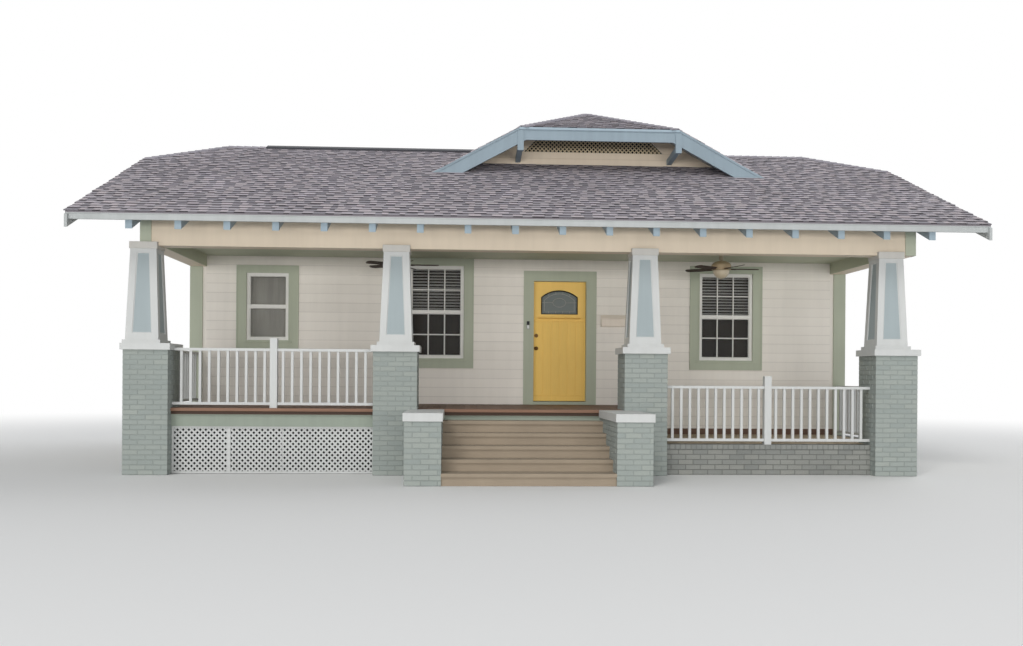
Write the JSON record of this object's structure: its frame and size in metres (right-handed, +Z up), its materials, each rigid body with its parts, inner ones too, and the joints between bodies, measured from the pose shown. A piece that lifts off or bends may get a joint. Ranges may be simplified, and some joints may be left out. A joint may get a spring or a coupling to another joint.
{
  "type": "bungalow with front porch",
  "caption": "Single-storey gabled bungalow with a deep front porch on tapered columns, a roof dormer, an opening front door and turning ceiling fans.",
  "frame": {"origin": "on the ground at the middle of the plan box", "axes": "+Z up, the porch and front door face -Y, +X to the right seen from the front"},
  "size_m": [12.64, 10.047, 6.1694],
  "materials": {
    "brick": "painted brick",
    "floor_wood": "matte",
    "siding": "painted satin",
    "sage_trim": "painted satin",
    "shingles": "granular matte",
    "vent_metal": "matte",
    "pale_trim": "painted satin",
    "blue_trim": "painted satin",
    "lattice_cream": "painted satin",
    "deck_wood": "stained satin",
    "white_trim": "painted satin",
    "base_brick": "painted brick",
    "cream_siding": "painted satin",
    "step_paint": "painted matte",
    "door_paint": "painted satin",
    "leaded_glass": "gloss",
    "dark_metal": "satin",
    "window_glass": "gloss",
    "white_metal": "satin",
    "fan_finish": "satin",
    "cream_metal": "satin",
    "steel": "satin",
    "black_plastic": "gloss"
  },
  "bodies": {
    "house": {"foundation": "brick", "house_floor": "floor_wood", "front_wall_left": "siding", "front_wall_right": "siding", "front_wall_over_door": "siding", "left_wall": "siding", "right_wall": "siding", "back_wall": "siding", "gable_walls": "siding", "corner_boards": "sage_trim", "main_roof": "shingles", "ridge_vent": "vent_metal", "eave_fascia": "pale_trim", "rafter_tails": "blue_trim", "rake_boards": "pale_trim", "dormer_roof": "shingles", "dormer_walls": "siding", "dormer_bargeboards": "blue_trim", "dormer_brackets": "blue_trim", "dormer_vents": "lattice_cream", "porch_deck": "deck_wood", "deck_skirt": "sage_trim", "porch_lattice": "white_trim", "lower_porch_floor": "deck_wood", "lower_porch_base": "base_brick", "piers": "brick", "pier_caps": "white_trim", "column_1": "white_trim", "column_2": "white_trim", "column_3": "white_trim", "column_4": "white_trim", "front_beam": "cream_siding", "side_beams": "cream_siding", "porch_ceiling": "sage_trim", "front_steps": "step_paint", "cheek_walls": "brick", "cheek_caps": "white_trim", "left_railings": "white_trim", "right_railings": "white_trim", "door_frame": "sage_trim", "hinge_pins": "steel", "window_casings": "sage_trim", "window_frames": "white_trim", "window_glass": "window_glass", "fan_mounts": "white_metal", "mailbox": "cream_metal", "doorbell": "black_plastic"},
    "door": {"front_door": "door_paint", "door_light": "leaded_glass", "door_hardware": "dark_metal", "hinge_leaves": "steel"},
    "fan_left": {"fan_rotor_left": "fan_finish"},
    "fan_right": {"fan_rotor_right": "fan_finish"}
  },
  "joints": [
    {"name": "door_hinge", "type": "hinge", "parent": "house", "child": "door", "pos_m": [1.081, -0.6275, 0.983], "axis": [0, 0, -1], "range_deg": [0, 90]},
    {"name": "fan_left_spin", "type": "hinge", "parent": "house", "child": "fan_left", "pos_m": [-2, -2.0765, 3.1575], "axis": [0, 0, 1], "continuous": true},
    {"name": "fan_right_spin", "type": "hinge", "parent": "house", "child": "fan_right", "pos_m": [3.03, -2.0765, 3.1575], "axis": [0, 0, 1], "continuous": true}
  ]
}
